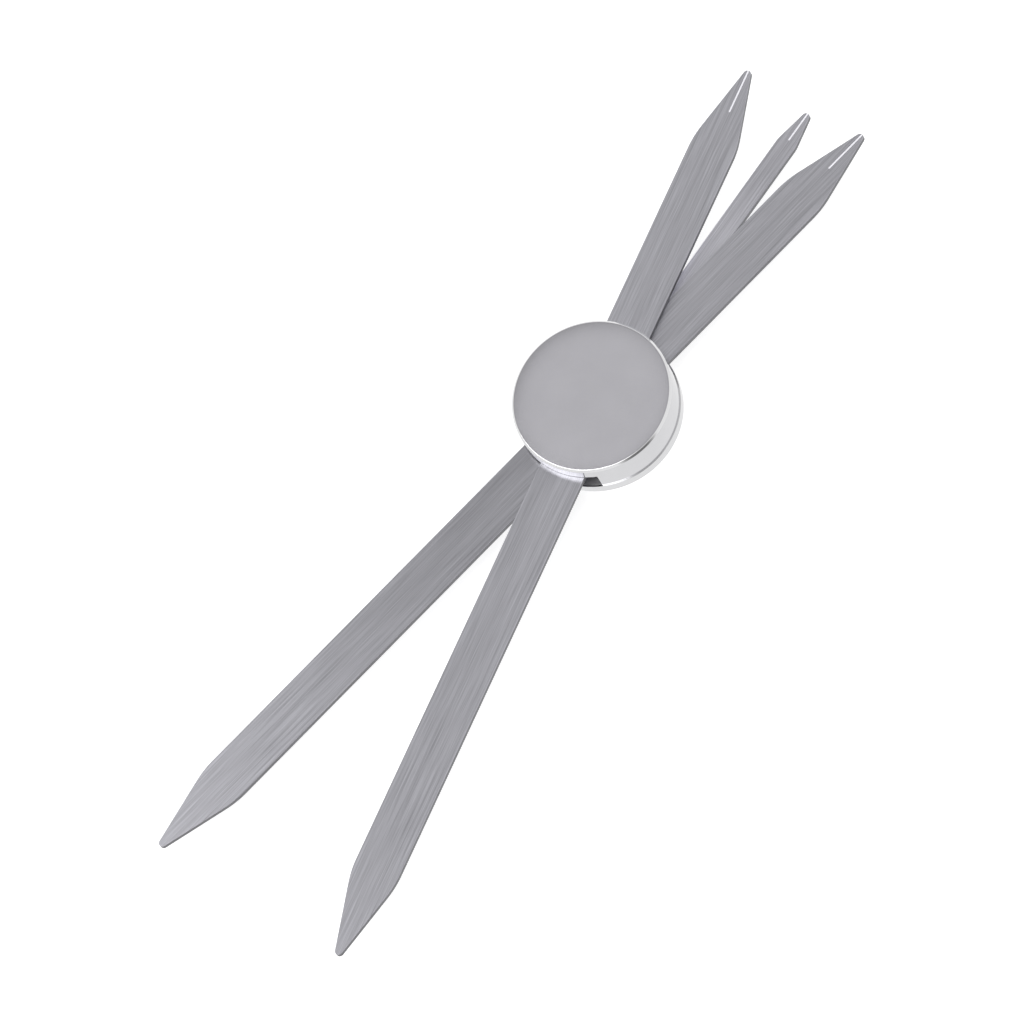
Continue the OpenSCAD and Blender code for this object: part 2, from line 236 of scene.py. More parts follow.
class CaliperStage(bpy.types.PropertyGroup):
    """Camera, floor and light."""
    aim: FloatVectorProperty(name="Aim", description="Point of the table at the middle of the picture",
                             default=(-3.02 * MM, -21.0 * MM, 0), subtype="TRANSLATION", size=3,
                             precision=5)
    distance: length("Distance", "Camera to the point that it aims at", 1222.39 * MM)
    azimuth: angle("Azimuth", "Direction of the camera round the pivot", 67.106)
    elevation: angle("Elevation", "Height of the camera over the table", 63.382)
    roll: angle("Roll", "Turn of the camera about its line of sight", -33.657)
    lens: FloatProperty(name="Lens", description="Focal length of the camera", default=271.9,
                        unit="CAMERA")
    floor_radius: length("Floor radius", "Radius of the white floor", 6.0)
    floor_drop: length("Floor drop", "How far the floor lies below the base plate", 0.05 * MM)
    floor_colour: colour("Floor colour", "Colour of the floor", (0.9, 0.9, 0.9))
    floor_glow: share("Floor glow", "Part of the floor's white that stays in a shadow", 0.72)
    sky: brightness("Sky", "Brightness of the white sky", 0.9)
    veil: brightness("Veil", "Brightness of the grey veil that the roof and the bars mirror", 0.36)
    veil_azimuth: angle("Veil azimuth", "Direction of the veil round the pivot", -107.7)
    veil_elevation: angle("Veil elevation", "Height of the veil over the table", 60.4)
    panel: brightness("Panel", "Brightness of the soft panel that the roof mirrors", 0.58)
    panel_azimuth: angle("Panel azimuth", "Direction of the panel round the pivot", -116.2)
    panel_elevation: angle("Panel elevation", "Height of the panel over the table", 64.1)
    card: brightness("Card", "Brightness of the dark card that the case's near edge mirrors", 0.2)
    card_azimuth: angle("Card azimuth", "Direction of the dark card round the pivot", 78)
    card_elevation: angle("Card elevation", "Height of the dark card over the table", 27)
    lamp: brightness("Lamp", "Brightness of the soft lamp overhead", 3.0)
    lamp_azimuth: angle("Lamp azimuth", "Direction of the overhead lamp round the pivot", 21)
    lamp_elevation: angle("Lamp elevation", "Height of the overhead lamp over the table", 74)
    key: brightness("Key", "Strength of the soft key light", 0.9)
    key_azimuth: angle("Key azimuth", "Direction of the key light round the pivot", -44.5)
    key_elevation: angle("Key elevation", "Height of the key light over the table", 63)
    key_spread: angle("Key spread", "Width of the key light as the hub sees it", 40)


# Outlines


def arc(centre, size, start, stop, steps):
    """Points on an arc from one angle to another."""
    turns = [start + (stop - start) * i / steps for i in range(steps + 1)]
    return [(centre[0] + size * math.cos(t), centre[1] + size * math.sin(t)) for t in turns]


def circle(size):
    """Points on a circle about the pivot."""
    return arc((0, 0), size, 0, 2 * math.pi, CIRCLE_STEPS)[:-1]


def turned(points, turn):
    """Points turned anticlockwise about the pivot."""
    c, s = math.cos(turn), math.sin(turn)
    return [(c * x - s * y, s * x + c * y) for x, y in points]


def along(turn, distance):
    """Point at a distance from the pivot, with its angle counted anticlockwise from the pointer."""
    return Vector((-distance * math.sin(turn), distance * math.cos(turn)))


def bar_end(width, reach, taper, tip, shoulder):
    """Outline of a bar's pointed end, from its right side over the tip to its left side."""
    half = width / 2
    rise = taper - tip
    turn = math.acos(tip / math.hypot(half, rise)) - math.atan2(rise, half)
    side = (half - shoulder, reach - taper - shoulder * math.tan(turn / 2))
    right = arc(side, shoulder, 0, turn, SHOULDER_STEPS)
    nose = arc((0, reach - tip), tip, turn, math.pi - turn, NOSE_STEPS)
    left = arc((-side[0], side[1]), shoulder, math.pi - turn, math.pi, SHOULDER_STEPS)
    return right + nose + left


def leg_outline(bars, eye):
    """Outline of a leg along Y, with its short end up and its round eye on the pivot."""
    sizes = (bars.leg_taper, bars.leg_tip, bars.leg_shoulder)
    short_end = bar_end(bars.leg_width, bars.leg_reach, *sizes)
    long_end = bar_end(bars.leg_width, bars.leg_reach * GOLDEN, *sizes)
    bulge = math.acos(bars.leg_width / 2 / eye)
    left = arc((0, 0), eye, math.pi - bulge, math.pi + bulge, EYE_STEPS)
    right = arc((0, 0), eye, -bulge, bulge, EYE_STEPS)
    return short_end + left + turned(long_end, math.pi) + right


def pointer_outline(bars, eye):
    """Outline of the pointer along Y, with its round eye on the pivot."""
    end = bar_end(bars.pointer_width, bars.pointer_reach, bars.pointer_taper, bars.pointer_tip,
                  bars.pointer_shoulder)
    neck = math.asin(bars.pointer_width / 2 / eye)
    return end + arc((0, 0), eye, math.pi / 2 + neck, 2.5 * math.pi - neck, 2 * EYE_STEPS)


def line_outline(width, reach, tip, span):
    """Outline of an index line along Y, from its inner end to a round nose."""
    half = width / 2
    swing = math.asin(half / tip)
    nose = arc((0, reach - tip), tip, math.pi / 2 - swing, math.pi / 2 + swing, LINE_NOSE_STEPS)
    return [(-half, reach - span), (half, reach - span)] + nose


# Solids


def add_piece(name, form):
    """Turn a bmesh into a piece of the scene and free it."""
    bmesh.ops.recalc_face_normals(form, faces=form.faces)
    mesh = bpy.data.meshes.new(name)
    form.to_mesh(mesh)
    form.free()
    piece = bpy.data.objects.new(name, mesh)
    bpy.context.scene.collection.objects.link(piece)
    return piece


def inset(outline, distance):
    """Anticlockwise outline drawn in by a distance."""
    drawn = []
    for before, spot, after in zip(outline[-1:] + outline[:-1], outline, outline[1:] + outline[:1]):
        first = Vector((before[1] - spot[1], spot[0] - before[0])).normalized()
        second = Vector((spot[1] - after[1], after[0] - spot[0])).normalized()
        drawn.append(Vector(spot) + (first + second) * distance / (1 + first.dot(second)))
    return drawn


def prism(name, outline, bottom, top, edge=0):
    """Solid of an anticlockwise outline between two levels, with broken edges if they have a width."""
    rings = [(outline, bottom + edge), (outline, top - edge)]
    if edge:
        drawn = inset(outline, edge)
        rings = [(drawn, bottom)] + rings + [(drawn, top)]
    form = bmesh.new()
    loops = [[form.verts.new((*spot, level)) for spot in ring] for ring, level in rings]
    form.faces.new(loops[0])
    form.faces.new(loops[-1])
    for lower, upper in zip(loops, loops[1:]):
        for i in range(len(lower)):
            form.faces.new((lower[i - 1], lower[i], upper[i], upper[i - 1]))
    return add_piece(name, form)


def lathe(name, profile, segments):
    """Solid turned about the pivot, from a profile that starts and ends on it."""
    form = bmesh.new()
    points = [form.verts.new((r, 0, z)) for r, z in profile]
    edges = [form.edges.new(pair) for pair in zip(points, points[1:])]
    bmesh.ops.spin(form, geom=points + edges, cent=(0, 0, 0), axis=(0, 0, 1), angle=2 * math.pi,
                   steps=segments, dvec=(0, 0, 0))
    bmesh.ops.remove_doubles(form, verts=form.verts, dist=AXIS_WELD)
    return add_piece(name, form)


def seat_cutter(node):
    """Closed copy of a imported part, a little taller, to cut its seat in a piece."""
    form = bmesh.new()
    form.from_mesh(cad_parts[node].data)
    bmesh.ops.remove_doubles(form, verts=form.verts, dist=PART_WELD)
    middle = sum(levels(node)) / 2
    bmesh.ops.scale(form, vec=(1, 1, SEAT_STRETCH), verts=form.verts,
                    space=Matrix.Translation((0, 0, -middle)))
    return add_piece(node + "_cutter", form)


def put_in_order(elements, place):
    """Sort points or faces by their place, because a cut lists them in changing order."""
    order = {element: i for i, element in enumerate(sorted(elements, key=place))}
    elements.sort(key=order.get)
    elements.index_update()


def heal(mesh):
    """Weld points that a cut left almost on each other, and close any hole between them."""
    form = bmesh.new()
    form.from_mesh(mesh)
    put_in_order(form.verts, lambda spot: tuple(spot.co))
    put_in_order(form.faces, lambda face: tuple(face.calc_center_median()))
    bmesh.ops.remove_doubles(form, verts=form.verts, dist=CUT_WELD)
    bmesh.ops.dissolve_degenerate(form, edges=form.edges, dist=SLIVER)
    rims = [edge for edge in form.edges if edge.is_boundary]
    bmesh.ops.holes_fill(form, edges=rims, sides=HOLE_SIDES)
    form.to_mesh(mesh)
    form.free()


def cut(piece, *tools):
    """Cut tools out of a piece and take the tools away."""
    for tool in tools:
        step = piece.modifiers.new("cut", "BOOLEAN")
        step.operation = "DIFFERENCE"
        step.solver = "EXACT"
        step.object = tool
        graph = bpy.context.evaluated_depsgraph_get()
        made = bpy.data.meshes.new_from_object(piece.evaluated_get(graph))
        piece.modifiers.clear()
        piece.data = made
        bpy.data.objects.remove(tool)
    heal(piece.data)
    if not piece.data.polygons:
        raise RuntimeError(f"{piece.name} lost its shape")


def smooth(piece):
    """Smooth the faces, with a crease wherever two meet at a sharp angle."""
    form = bmesh.new()
    form.from_mesh(piece.data)
    for face in form.faces:
        face.smooth = True
    for edge in form.edges:
        edge.smooth = edge.calc_face_angle(0) < CREASE
    form.to_mesh(piece.data)
    form.free()


def is_broad(face):
    """Whether a face of a bar is one of its broad faces, and not on a side."""
    return abs(face.normal.z) > BROAD_NORMAL


def looks_down(face):
    """Whether a face of the hub is level and looks down."""
    return face.normal.z < -LEVEL_NORMAL


def map_grain(piece, turn):
    """Lay the grain along a bar that is turned about the pivot: U across it and V along it, in metres."""
    grain = piece.data.uv_layers.new(name=GRAIN_MAP)
    for face in piece.data.polygons:
        broad = is_broad(face)
        for corner in face.loop_indices:
            spot = piece.data.vertices[piece.data.loops[corner].vertex_index].co
            (across, lengthwise), = turned([(spot.x, spot.y)], -turn)
            grain.data[corner].uv = (across if broad else spot.z, lengthwise)


def dress(piece, *finishes):
    """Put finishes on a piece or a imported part; its faces all take the first until they are marked."""
    piece.data.materials.clear()
    for made in finishes:
        piece.data.materials.append(made)


# Finishes


def add_node(tree, kind, inputs=None, **settings):
    """Add a node with its options, and fill its sockets with values or links."""
    made = tree.nodes.new(kind)
    for option, value in settings.items():
        setattr(made, option, value)
    for socket, value in (inputs or {}).items():
        if isinstance(value, bpy.types.NodeSocket):
            tree.links.new(value, made.inputs[socket])
        else:
            made.inputs[socket].default_value = value
    return made


def start_finish(name, metallic=1.0):
    """New material with its node tree and shader."""
    made = bpy.data.materials.new(name)
    made.use_nodes = True
    shader = made.node_tree.nodes["Principled BSDF"]
    shader.inputs["Metallic"].default_value = metallic
    return made, made.node_tree, shader


def part_coordinate(tree):
    """Place on a part in the shared frame, in metres."""
    return add_node(tree, "ShaderNodeTexCoord").outputs["Object"]


def rescale(tree, value, source, target):
    """Value brought from one span to another, and held within it."""
    made = add_node(tree, "ShaderNodeMapRange", {
        "Value": value,
        "From Min": source[0],
        "From Max": source[1],
        "To Min": target[0],
        "To Max": target[1],
    })
    return made.outputs["Result"]


def noise(tree, coordinate, size, detail):
    """Soft noise from 0 to 1, whose spots have a size in metres along each axis."""
    spread = add_node(tree, "ShaderNodeMapping", {"Vector": coordinate, "Scale": [1 / s for s in size]})
    made = add_node(tree, "ShaderNodeTexNoise", {
        "Vector": spread.outputs["Vector"], "Scale": 1.0, "Detail": detail, "Roughness": 0.55})
    return rescale(tree, made.outputs["Fac"], NOISE_SPAN, (0, 1))


def blend(tree, first, second, weight):
    """Mix of two values, with the second one's weight."""
    made = add_node(tree, "ShaderNodeMix", {"Factor": weight, 2: first, 3: second})
    return made.outputs["Result"]


def tint(tree, shader, base, value, spread):
    """Vary a colour either way by a share of itself, with a value from 0 to 1."""
    ramp = add_node(tree, "ShaderNodeValToRGB", {"Fac": value})
    for stop, change in zip(ramp.color_ramp.elements, (1 - spread, 1 + spread)):
        stop.color = [min(1, c * change) for c in base] + [1]
    tree.links.new(ramp.outputs["Color"], shader.inputs["Base Color"])


def vary_roughness(tree, shader, value, span):
    """Vary the roughness over a span, with a value from 0 to 1."""
    tree.links.new(rescale(tree, value, (0, 1), span), shader.inputs["Roughness"])


def emboss(tree, shader, value, depth, strength):
    """Raise a value as fine relief."""
    bump = add_node(tree, "ShaderNodeBump", {"Height": value, "Distance": depth, "Strength": strength})
    tree.links.new(bump.outputs["Normal"], shader.inputs["Normal"])


def paint_reflection_along(tree, shader, along_bar, stops):
    """Paint reflection into a bar's colour: lighten or darken it along the bar, by stops of place and share
    that join up evenly.
    """
    start, end = stops[0][0], stops[-1][0]
    place = rescale(tree, along_bar, (start, end), (0, 1))
    ramp = add_node(tree, "ShaderNodeValToRGB", {"Fac": place})
    marks = ramp.color_ramp.elements
    for spot, _ in stops[1:-1]:
        marks.new((spot - start) / (end - start))
    for mark, (_, level) in zip(marks, stops):
        mark.color = (level, level, level, 1)
    plain = shader.inputs["Base Color"].links[0].from_socket
    painted_reflection = add_node(tree, "ShaderNodeVectorMath", {0: plain, 1: ramp.outputs["Color"]},
                    operation="MULTIPLY")
    tree.links.new(painted_reflection.outputs["Vector"], shader.inputs["Base Color"])


def brushed_steel(name, base, stops):
    """Sheet steel brushed along the bar, with painted reflection along it by stops of place and share."""
    made, tree, shader = start_finish(name)
    grain = add_node(tree, "ShaderNodeUVMap", uv_map=GRAIN_MAP).outputs["UV"]
    band = noise(tree, grain, size=(1.6 * MM, 50 * MM, 1), detail=2)
    streak = noise(tree, grain, size=(0.36 * MM, 28 * MM, 1), detail=2)
    hair = noise(tree, grain, size=(0.13 * MM, 8 * MM, 1), detail=3)
    coarse = blend(tree, band, streak, weight=0.6)
    tint(tree, shader, base, blend(tree, coarse, hair, weight=0.5), spread=0.31)
    # Painted reflection: the colour is made lighter and darker along the bar by the stops
    paint_reflection_along(tree, shader, add_node(tree, "ShaderNodeSeparateXYZ", {"Vector": grain}).outputs["Y"], stops)
    vary_roughness(tree, shader, streak, span=(0.32, 0.4))
    emboss(tree, shader, blend(tree, streak, hair, weight=0.5), depth=0.002 * MM, strength=0.12)
    shader.inputs["Anisotropic"].default_value = 0.85
    tangent = add_node(tree, "ShaderNodeTangent", direction_type="UV_MAP", uv_map=GRAIN_MAP)
    tree.links.new(tangent.outputs["Tangent"], shader.inputs["Tangent"])
    return made


def shaded_cut_steel(name, base):
    """Sides of a bar as the cutter left them, dull and finely striped, and dark partly as cut steel and
    partly as painted shade.
    """
    made, tree, shader = start_finish(name)
    spot = part_coordinate(tree)
    stripe = noise(tree, spot, size=(0.12 * MM, 0.12 * MM, 3 * MM), detail=2)
    mottle = noise(tree, spot, size=[1.5 * MM] * 3, detail=3)
    tint(tree, shader, base, blend(tree, stripe, mottle, weight=0.4), spread=0.25)
    vary_roughness(tree, shader, stripe, span=(0.42, 0.6))
    emboss(tree, shader, stripe, depth=0.01 * MM, strength=0.3)
    return made


def polished_steel(name, base, roughness):
    """Polished steel with a faint cloud of handling and fine specks."""
    made, tree, shader = start_finish(name)
    spot = part_coordinate(tree)
    cloud = noise(tree, spot, size=[6 * MM] * 3, detail=4)
    speck = noise(tree, spot, size=[0.35 * MM] * 3, detail=3)
    tint(tree, shader, base, blend(tree, cloud, speck, weight=0.35), spread=0.035)
    vary_roughness(tree, shader, blend(tree, cloud, speck, weight=0.5), roughness)
    emboss(tree, shader, speck, depth=0.001 * MM, strength=0.1)
    return made


def turned_steel(name, base, roughness):
    """Steel with the rings that a lathe tool leaves round the pivot."""
    made, tree, shader = start_finish(name)
    spot = part_coordinate(tree)
    marks = {"Vector": spot, "Scale": 1600.0, "Distortion": 0.6, "Detail": 2.0}
    wave = add_node(tree, "ShaderNodeTexWave", marks, wave_type="RINGS", rings_direction="Z")
    ring = wave.outputs["Fac"]
    cloud = noise(tree, spot, size=[3 * MM] * 3, detail=3)
    tint(tree, shader, base, blend(tree, cloud, ring, weight=0.4), spread=0.12)
    vary_roughness(tree, shader, blend(tree, cloud, ring, weight=0.5), roughness)
    emboss(tree, shader, ring, depth=0.004 * MM, strength=0.2)
    return made


def cut_metal(name, base, roughness):
    """Gear, shim or pin metal, finely scratched and slightly stained."""
    made, tree, shader = start_finish(name)
    spot = part_coordinate(tree)
    scratch = noise(tree, spot, size=(0.05 * MM, 1.2 * MM, 0.4 * MM), detail=3)
    stain = noise(tree, spot, size=[2 * MM] * 3, detail=4)
    tint(tree, shader, base, blend(tree, stain, scratch, weight=0.4), spread=0.14)
    vary_roughness(tree, shader, blend(tree, stain, scratch, weight=0.5), roughness)
    emboss(tree, shader, scratch, depth=0.003 * MM, strength=0.25)
    return made


def line_enamel(name, base):
    """White fill, matt and slightly grained."""
    made, tree, shader = start_finish(name, metallic=0.0)
    spot = part_coordinate(tree)
    grit = noise(tree, spot, size=[0.06 * MM] * 3, detail=3)
    cloud = noise(tree, spot, size=[0.8 * MM] * 3, detail=3)
    tint(tree, shader, base, blend(tree, cloud, grit, weight=0.4), spread=0.04)
    vary_roughness(tree, shader, grit, span=(0.38, 0.55))
    emboss(tree, shader, grit, depth=0.004 * MM, strength=0.3)
    return made


def pin_finish(context):
    """Finish that all pins and fasteners share."""
    name = "Ground pin steel"
    base = context.scene.caliper_finishes.pin_steel
    return bpy.data.materials.get(name) or cut_metal(name, base, roughness=(0.22, 0.4))


# Stage


def heading(azimuth, elevation):
    """Direction from the pivot, with azimuth 0 towards -Y and 90 degrees towards +X."""
    flat = math.cos(elevation)
    return Vector((math.sin(azimuth) * flat, -math.cos(azimuth) * flat, math.sin(elevation)))


def sky_patch(tree, direction, level, towards, spread, strength):
    """Lay a soft round patch of its own brightness over a sky, round a direction."""
    near = add_node(tree, "ShaderNodeVectorMath", {0: direction, 1: towards}, operation="DOT_PRODUCT")
    inner, outer = (math.cos(math.radians(a)) for a in spread)
    limits = {"Value": near.outputs["Value"], "From Min": outer, "From Max": inner}
    cover = add_node(tree, "ShaderNodeMapRange", limits, interpolation_type="SMOOTHSTEP")
    return blend(tree, level, strength, cover.outputs["Result"])


def make_sky(context, stage):
    """White sky with a grey veil opposite the camera, a soft panel in it, a lamp and a dark card."""
    world = bpy.data.worlds.new("Soft sky")
    context.scene.world = world
    world.use_nodes = True
    tree = world.node_tree
    direction = add_node(tree, "ShaderNodeTexCoord").outputs["Generated"]
    patches = (
        (heading(stage.veil_azimuth, stage.veil_elevation), VEIL_SPREAD, stage.veil),
        (heading(stage.panel_azimuth, stage.panel_elevation), PANEL_SPREAD, stage.panel),
        (heading(stage.lamp_azimuth, stage.lamp_elevation), LAMP_SPREAD, stage.lamp),
        (heading(stage.card_azimuth, stage.card_elevation), CARD_SPREAD, stage.card),
    )
    level = stage.sky
    for towards, spread, strength in patches:
        level = sky_patch(tree, direction, level, towards, spread, strength)
    tree.links.new(level, tree.nodes["Background"].inputs["Strength"])
    tree.nodes["Background"].inputs["Color"].default_value = (1, 1, 1, 1)


def floor_finish(stage):
    """White floor that keeps a soft shadow, and that polished metal sees as white too."""
    made = bpy.data.materials.new("White floor")
    made.use_nodes = True
    tree = made.node_tree
    tree.nodes.clear()
    rays = add_node(tree, "ShaderNodeLightPath").outputs
    paint = [*stage.floor_colour, 1]
    matt = add_node(tree, "ShaderNodeBsdfDiffuse", {"Color": paint}).outputs["BSDF"]
    fading = [c * (FLOOR_WHITE - stage.floor_glow) for c in stage.floor_colour] + [1]
    faded = add_node(tree, "ShaderNodeBsdfDiffuse", {"Color": fading}).outputs["BSDF"]
    glow = add_node(tree, "ShaderNodeEmission", {"Strength": stage.floor_glow}).outputs["Emission"]
    white = add_node(tree, "ShaderNodeEmission", {"Strength": 1.0}).outputs["Emission"]
    seen = add_node(tree, "ShaderNodeAddShader", {0: faded, 1: glow}).outputs["Shader"]
    direct = add_node(tree, "ShaderNodeMixShader", {0: rays["Is Camera Ray"], 1: matt, 2: seen})
    mirrored = add_node(tree, "ShaderNodeMath", {0: rays["Is Glossy Ray"], 1: rays["Is Transmission Ray"]},
                        operation="MAXIMUM")
    whole = add_node(tree, "ShaderNodeMixShader", {
        0: mirrored.outputs["Value"], 1: direct.outputs["Shader"], 2: white})
    add_node(tree, "ShaderNodeOutputMaterial", {"Surface": whole.outputs["Shader"]})
    return made


class CALIPER_OT_stage(bpy.types.Operator):
    """Set up the camera, the white floor and the soft light"""
    bl_idname = "caliper.stage"
    bl_label = "Stage"

    def execute(self, context):
        stage = context.scene.caliper_stage
        context.scene.view_settings.view_transform = "Standard"
        self.add_camera(context, stage)
        self.add_floor(stage)
        make_sky(context, stage)
        self.add_key(context, stage)
        return {"FINISHED"}

    def add_camera(self, context, stage):
        back = heading(stage.azimuth, stage.elevation)
        level = Vector((0, 0, 1)).cross(back).normalized()
        upright = back.cross(level)
        right = level * math.cos(stage.roll) + upright * math.sin(stage.roll)
        data = bpy.data.cameras.new("Camera")
        data.lens = stage.lens
        data.clip_end = CAMERA_REACH * stage.distance
        camera = bpy.data.objects.new("Camera", data)
        turn = Matrix((right, back.cross(right), back)).transposed().to_4x4()
        camera.matrix_world = Matrix.Translation(Vector(stage.aim) + back * stage.distance) @ turn
        context.scene.collection.objects.link(camera)
        context.scene.camera = camera

    def add_floor(self, stage):
        form = bmesh.new()
        rim = circle(stage.floor_radius)
        form.faces.new([form.verts.new((x, y, -stage.floor_drop)) for x, y in rim])
        floor = add_piece("floor", form)
        dress(floor, floor_finish(stage))

    def add_key(self, context, stage):
        data = bpy.data.lights.new("Key", "SUN")
        data.energy = stage.key
        data.angle = stage.key_spread
        key = bpy.data.objects.new("Key", data)
        key.rotation_mode = "QUATERNION"
        key.rotation_quaternion = heading(stage.key_azimuth, stage.key_elevation).to_track_quat("Z", "Y")
        context.scene.collection.objects.link(key)


# Hub


def case_profile(hub, radius, seam, top):
    """Half section of the case, from the middle of its roof outside to the middle of its roof inside."""
    rim = radius - hub.edge
    fall = rim * math.tan(hub.dome) / DOME_POWER
    steps = [i / DOME_STEPS for i in range(DOME_STEPS + 1)]
    dome = [(rim * step, top - fall * step ** DOME_POWER) for step in steps]
    # Centres of the two arcs that a bevel of 45 degrees joins
    upper = (rim - hub.edge_round * math.sin(hub.dome), top - fall - hub.edge_round * math.cos(hub.dome))
    drop = math.sqrt(2) * (hub.edge_round - hub.edge_foot)
    lower = (radius - hub.edge_foot, sum(upper) + drop - radius + hub.edge_foot)
    edge = arc(upper, hub.edge_round, math.pi / 2 - hub.dome, math.pi / 4, RIM_STEPS)
    edge += arc(lower, hub.edge_foot, math.pi / 4, 0, EDGE_FOOT_STEPS)
    cavity = radius - hub.wall
    foot = [(radius, seam + hub.seam), (radius - hub.seam, seam), (cavity, seam)]
    return dome + edge[1:] + foot + [(cavity, top - hub.roof), (0, top - hub.roof)]


def slot_outline(bars, hub, radius):
    """Wedge that the bars sweep through the wall on the three-tip side."""
    half = bars.leg_width / 2 + hub.slot_side
    left = bars.leg_1_angle + hub.leg_1_open
    right = bars.leg_2_angle - hub.leg_2_open
    middle, half_turn = (left + right) / 2, (left - right) / 2
    apex = along(middle, -half / math.sin(half_turn))
    reach = WEDGE_REACH * radius
    return [apex, apex + along(right, reach), apex + along(left, reach)]


class CALIPER_OT_case(bpy.types.Operator):
    """Make the polished case with its satin roof and its two slots"""
    bl_idname = "caliper.case"
    bl_label = "Case"

    def execute(self, context):
        hub = context.scene.caliper_hub
        bars = context.scene.caliper_bars
        radius = outer_radius("top_case")
        seam, top = levels("top_case")
        case = lathe("case", case_profile(hub, radius, seam, top), hub.segments)
        slot_top = levels("leg_1")[1] + hub.slot_gap
        wedge = slot_outline(bars, hub, radius)
        slots = [prism("slot", turned(wedge, turn), seam - OVER, slot_top) for turn in (0, math.pi)]
        round_spring = circle(outer_radius("cone_spring") + hub.pocket_gap)
        pocket = prism("pocket", round_spring, top - hub.roof - OVER, levels("cone_spring")[1])
        seats = [seat_cutter(node) for node in ("pivot_pin", "planet_posts", "base_screws")]
        cut(case, *slots, pocket, *seats)
        finishes = context.scene.caliper_finishes
        dress(case, polished_steel("Polished case steel", finishes.wall_steel, roughness=(0.05, 0.1)),
              polished_steel("Satin roof steel", finishes.roof_steel, roughness=(0.11, 0.16)),
              turned_steel("Machined case steel", finishes.inner_steel, roughness=(0.35, 0.5)),
              polished_steel("Buffed edge steel", finishes.edge_steel, roughness=(0.05, 0.1)))
        self.mark_faces(case, hub, radius, top)
        smooth(case)
        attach(case, "hub")
        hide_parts("top_case")
        return {"FINISHED"}

    def mark_faces(self, case, hub, radius, top):
        for face in case.data.polygons:
            spot = face.center
            outside = math.hypot(spot.x, spot.y) > radius - hub.edge
            high = spot.z > top - EDGE_ZONE * hub.edge
            lintel = looks_down(face) and spot.z < top - ROOF_ZONE * hub.roof
            if high:
                face.material_index = EDGE_FACE if outside else ROOF_FACE
            else:
                face.material_index = WALL_FACE if outside or lintel else INNER_FACE


class CALIPER_OT_base(bpy.types.Operator):
    """Make the base plate and finish its screws"""
    bl_idname = "caliper.base"
    bl_label = "Base plate"

    def execute(self, context):
        hub = context.scene.caliper_hub
        radius = outer_radius("base_plate")
        seam = levels("top_case")[0]
        bottom, seat = levels("base_plate")
        spigot = outer_radius("top_case") - hub.wall - hub.spigot_fit
        land = outer_radius("top_case") - 2 * hub.seam
        rim = [(radius - hub.foot, bottom), (radius, bottom + hub.foot), (radius, seam - hub.seam),
               (radius - hub.seam, seam), (land, seam)]
        profile = [(0, bottom)] + rim + [(spigot, seam), (spigot, seat), (0, seat)]
        base = lathe("base", profile, hub.segments)
        cut(base, *[seat_cutter(node) for node in ("pivot_pin", "pointer_dowels", "base_screws")])
        finishes = context.scene.caliper_finishes
        dress(base, polished_steel("Polished base steel", finishes.base_steel, roughness=(0.06, 0.12)),
              turned_steel("Turned base steel", finishes.wall_steel, roughness=(0.2, 0.34)),
              turned_steel("Machined base steel", finishes.inner_steel, roughness=(0.35, 0.5)))
        self.mark_faces(base, hub, radius)
        smooth(base)
        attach(base, "hub")
        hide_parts("base_plate")
        dress(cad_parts["base_screws"], pin_finish(context))
        return {"FINISHED"}

    def mark_faces(self, base, hub, radius):
        for face in base.data.polygons:
            outside = math.hypot(face.center.x, face.center.y) > radius - FOOT_ZONE * hub.foot
            if outside:
                face.material_index = WALL_FACE
            else:
                face.material_index = UNDER_FACE if looks_down(face) else INNER_FACE


# Bars


def line_sizes(bars, node):
    """Reach, tip radius and line length of a bar."""
    if node == "pointer":
        return bars.pointer_reach, bars.pointer_tip, bars.pointer_line
    return bars.leg_reach, bars.leg_tip, bars.leg_line


def groove_outline(bars, node):
    """Index line of a bar, run out past its nose."""
    reach, tip, span = line_sizes(bars, node)
    return line_outline(bars.line_width, reach + OVER, tip, span + OVER)


class CALIPER_OT_bars(bpy.types.Operator):
    """Make the brushed legs and the pointer"""
    bl_idname = "caliper.bars"
    bl_label = "Legs and pointer"

    def execute(self, context):
        bars = context.scene.caliper_bars
        finishes = context.scene.caliper_finishes
        upper_finish = brushed_steel("Brushed upper leg steel with painted reflection", finishes.upper_leg_lit_steel, UPPER_PAINTED_REFLECTION)
        lower_finish = brushed_steel("Brushed lower leg steel with painted reflection", finishes.lower_leg_shaded_steel, LOWER_PAINTED_REFLECTION)
        pointer_finish = brushed_steel("Brushed pointer steel with painted reflection", finishes.pointer_lit_steel, POINTER_PAINTED_REFLECTION)
        side_finish = shaded_cut_steel("Cut bar steel with painted shade", finishes.shaded_cut_steel)
        eye = outer_radius("sun_gear") + bars.eye_margin
        leg = leg_outline(bars, eye)
        wide_leg = leg_outline(bars, outer_radius("ring_gear"))
        pointer = pointer_outline(bars, eye)
        self.add_bar(bars, "leg_1", "leg_1", "upper_leg", leg, bars.leg_1_angle, "sun_rivets",
                     upper_finish, side_finish)
        self.add_bar(bars, "leg_2", "leg_2", "lower_leg", wide_leg, bars.leg_2_angle, "ring_pillars",
                     lower_finish, side_finish)
        self.add_bar(bars, "pointer", "hub", "middle_pointer", pointer, 0, "pointer_dowels",
                     pointer_finish, side_finish)
        return {"FINISHED"}

    def add_bar(self, bars, node, body, name, outline, turn, fasteners, broad_finish, side_finish):
        bottom, top = levels(node)
        bar = prism(name, turned(outline, turn), bottom, top, bars.edge_break)
        round_pin = circle(outer_radius("pivot_pin") + bars.pin_play)
        bore = prism("bore", round_pin, bottom - OVER, top + OVER)
        line = turned(groove_outline(bars, node), turn)
        groove = prism("groove", line, top - bars.line_depth, top + OVER)
        cut(bar, bore, groove, seat_cutter(fasteners))
        map_grain(bar, turn)
        dress(bar, broad_finish, side_finish)
        for face in bar.data.polygons:
            face.material_index = BROAD_FACE if is_broad(face) else CUT_FACE
        smooth(bar)
        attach(bar, body)
        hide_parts(node)


